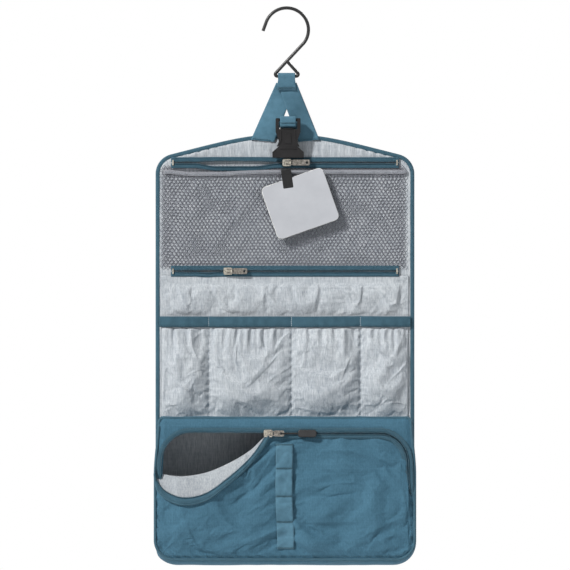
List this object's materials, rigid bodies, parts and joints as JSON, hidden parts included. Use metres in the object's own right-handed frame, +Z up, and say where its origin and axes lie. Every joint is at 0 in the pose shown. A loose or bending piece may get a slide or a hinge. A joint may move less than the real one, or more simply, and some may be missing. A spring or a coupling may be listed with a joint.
{
  "type": "hanging toiletry bag",
  "caption": "Unfolding toiletry bag that hangs from a wire hook, with a zipped pouch below, gathered elastic pockets, a zipped mesh pocket, mirror and buckle.",
  "frame": {"origin": "middle of the bottom edge of the back panel, on its rear face, bag unfolded and hanging", "axes": "+Z up, -Y towards the user (front of the pockets), +X to the user's right when facing the bag"},
  "size_m": [0.2854, 0.0727, 0.6057],
  "materials": {
    "shell_fabric": "slate blue woven polyester with a fine ripstop grain",
    "lining_fabric": "mottled light grey melange polyester",
    "mesh_fabric": "grey hexagonal netting",
    "binding": "blue rolled edge tape",
    "webbing": "blue ribbed webbing",
    "zip_tape": "blue zip tape with a coil",
    "foam": "white closed cell foam",
    "thread": "bartack thread",
    "elastic": "white elastic tape",
    "black_strap": "black webbing",
    "buckle_plastic": "black moulded acetal",
    "grip_plastic": "black soft plastic",
    "hook_wire": "black coated steel wire",
    "zip_metal": "antique nickel die casting",
    "mirror_glass": "mirror acrylic",
    "mirror_backing": "white backing sheet",
    "board": "thin board"
  },
  "bodies": {
    "body": {"back_panel": "shell_fabric", "back_padding": "foam", "back_lining": "lining_fabric", "body_binding": "binding", "pouch_shell": "shell_fabric", "pouch_lining": "lining_fabric", "pouch_piping": "binding", "base_board": "board", "main_zip_tape_upper": "zip_tape", "main_zip_tape_lower": "zip_tape", "mouth_zip_tape": "zip_tape", "main_zip_coil": "zip_tape", "elastic_pocket": "lining_fabric", "elastic_band": "binding", "elastic_tape": "elastic", "loop_strap": "webbing", "loop_bartacks": "thread", "plug_anchor": "webbing"},
    "flap": {"flap_shell": "shell_fabric", "flap_padding": "foam", "flap_lining": "lining_fabric", "flap_binding": "binding", "mesh_pocket": "mesh_fabric", "flat_pocket": "lining_fabric", "mesh_zip_tape": "zip_tape", "mesh_zip_coil": "zip_tape", "mesh_zip_stops": "zip_metal", "flat_zip_tape": "zip_tape", "flat_zip_coil": "zip_tape", "flat_zip_stops": "zip_metal", "hanger_tails": "webbing", "buckle_tab": "webbing", "mirror_snap": "grip_plastic"},
    "hanger": {"hanger_webbing": "webbing", "hanger_bartack": "thread"},
    "hook": {"hook": "hook_wire"},
    "socket": {"buckle_socket": "buckle_plastic"},
    "mirror": {"mirror_back": "mirror_backing", "mirror_face": "mirror_glass", "mirror_strap": "black_strap"},
    "mesh_slider": {"mesh_slider": "zip_metal"},
    "mesh_pull": {"mesh_pull": "zip_metal"},
    "flat_slider": {"flat_slider": "zip_metal"},
    "flat_pull": {"flat_pull": "zip_metal"},
    "main_slider": {"main_slider": "zip_metal"},
    "main_pull": {"main_pull": "zip_metal"},
    "zip_cord": {"pull_cord": "black_strap", "cord_grip": "grip_plastic"},
    "plug_strap": {"plug_strap": "webbing"},
    "plug": {"buckle_plug": "buckle_plastic"},
    "plug_arm_left": {"plug_arm_left": "buckle_plastic"},
    "plug_arm_right": {"plug_arm_right": "buckle_plastic"}
  },
  "joints": [
    {"name": "flap_fold", "type": "hinge", "parent": "body", "child": "flap", "pos_m": [0, -0.014, 0.272], "axis": [1, 0, 0], "range_deg": [0, 150]},
    {"name": "hanger_fold", "type": "hinge", "parent": "flap", "child": "hanger", "pos_m": [0, -0.0028, 0.471], "axis": [1, 0, 0], "range_deg": [-120, 0]},
    {"name": "hook_swing", "type": "hinge", "parent": "hanger", "child": "hook", "pos_m": [0, -0.0084, 0.529], "axis": [1, 0, 0], "range_deg": [-90, 90]},
    {"name": "socket_swing", "type": "hinge", "parent": "flap", "child": "socket", "pos_m": [0.0033, -0.016, 0.481], "axis": [1, 0, 0], "range_deg": [-150, 0]},
    {"name": "mirror_swing", "type": "hinge", "parent": "flap", "child": "mirror", "pos_m": [0.0011, -0.014, 0.426], "axis": [0, 1, 0], "range_deg": [-30, 30]},
    {"name": "mesh_zip_slide", "type": "slide", "parent": "flap", "child": "mesh_slider", "axis": [1, 0, 0], "range_m": [-0.113, 0.11]},
    {"name": "mesh_pull_flip", "type": "hinge", "parent": "mesh_slider", "child": "mesh_pull", "pos_m": [0.002, -0.0115, 0.435], "axis": [0, 0, 1], "range_deg": [-160, 0]},
    {"name": "flat_zip_slide", "type": "slide", "parent": "flap", "child": "flat_slider", "axis": [1, 0, 0], "range_m": [-0.05, 0.174]},
    {"name": "flat_pull_flip", "type": "hinge", "parent": "flat_slider", "child": "flat_pull", "pos_m": [-0.062, -0.0115, 0.317], "axis": [0, 0, 1], "range_deg": [-160, 0]},
    {"name": "main_zip_slide", "type": "slide", "parent": "body", "child": "main_slider", "axis": [1, 0, 0], "range_m": [0, 0.085]},
    {"name": "main_pull_flip", "type": "hinge", "parent": "main_slider", "child": "main_pull", "pos_m": [-0.018, -0.0616, 0.143], "axis": [0, 0, 1], "range_deg": [-160, 0]},
    {"name": "cord_swing", "type": "hinge", "parent": "main_pull", "child": "zip_cord", "pos_m": [-0.0042, -0.0616, 0.143], "axis": [0, 0, 1], "range_deg": [-10, 0]},
    {"name": "strap_swing", "type": "hinge", "parent": "body", "child": "plug_strap", "pos_m": [0, 0.0017, 0.022], "axis": [1, 0, 0], "range_deg": [-165, 0]},
    {"name": "plug_swing", "type": "hinge", "parent": "plug_strap", "child": "plug", "pos_m": [0, 0.0048, 0.098], "axis": [1, 0, 0], "range_deg": [-120, 0]},
    {"name": "arm_right_squeeze", "type": "hinge", "parent": "plug", "child": "plug_arm_right", "pos_m": [0.0099, 0.0048, 0.1116], "axis": [0, 1, 0], "range_deg": [-6, 0]},
    {"name": "arm_left_squeeze", "type": "hinge", "parent": "plug", "child": "plug_arm_left", "pos_m": [-0.0099, 0.0048, 0.1116], "axis": [0, 1, 0], "range_deg": [0, 6]}
  ]
}
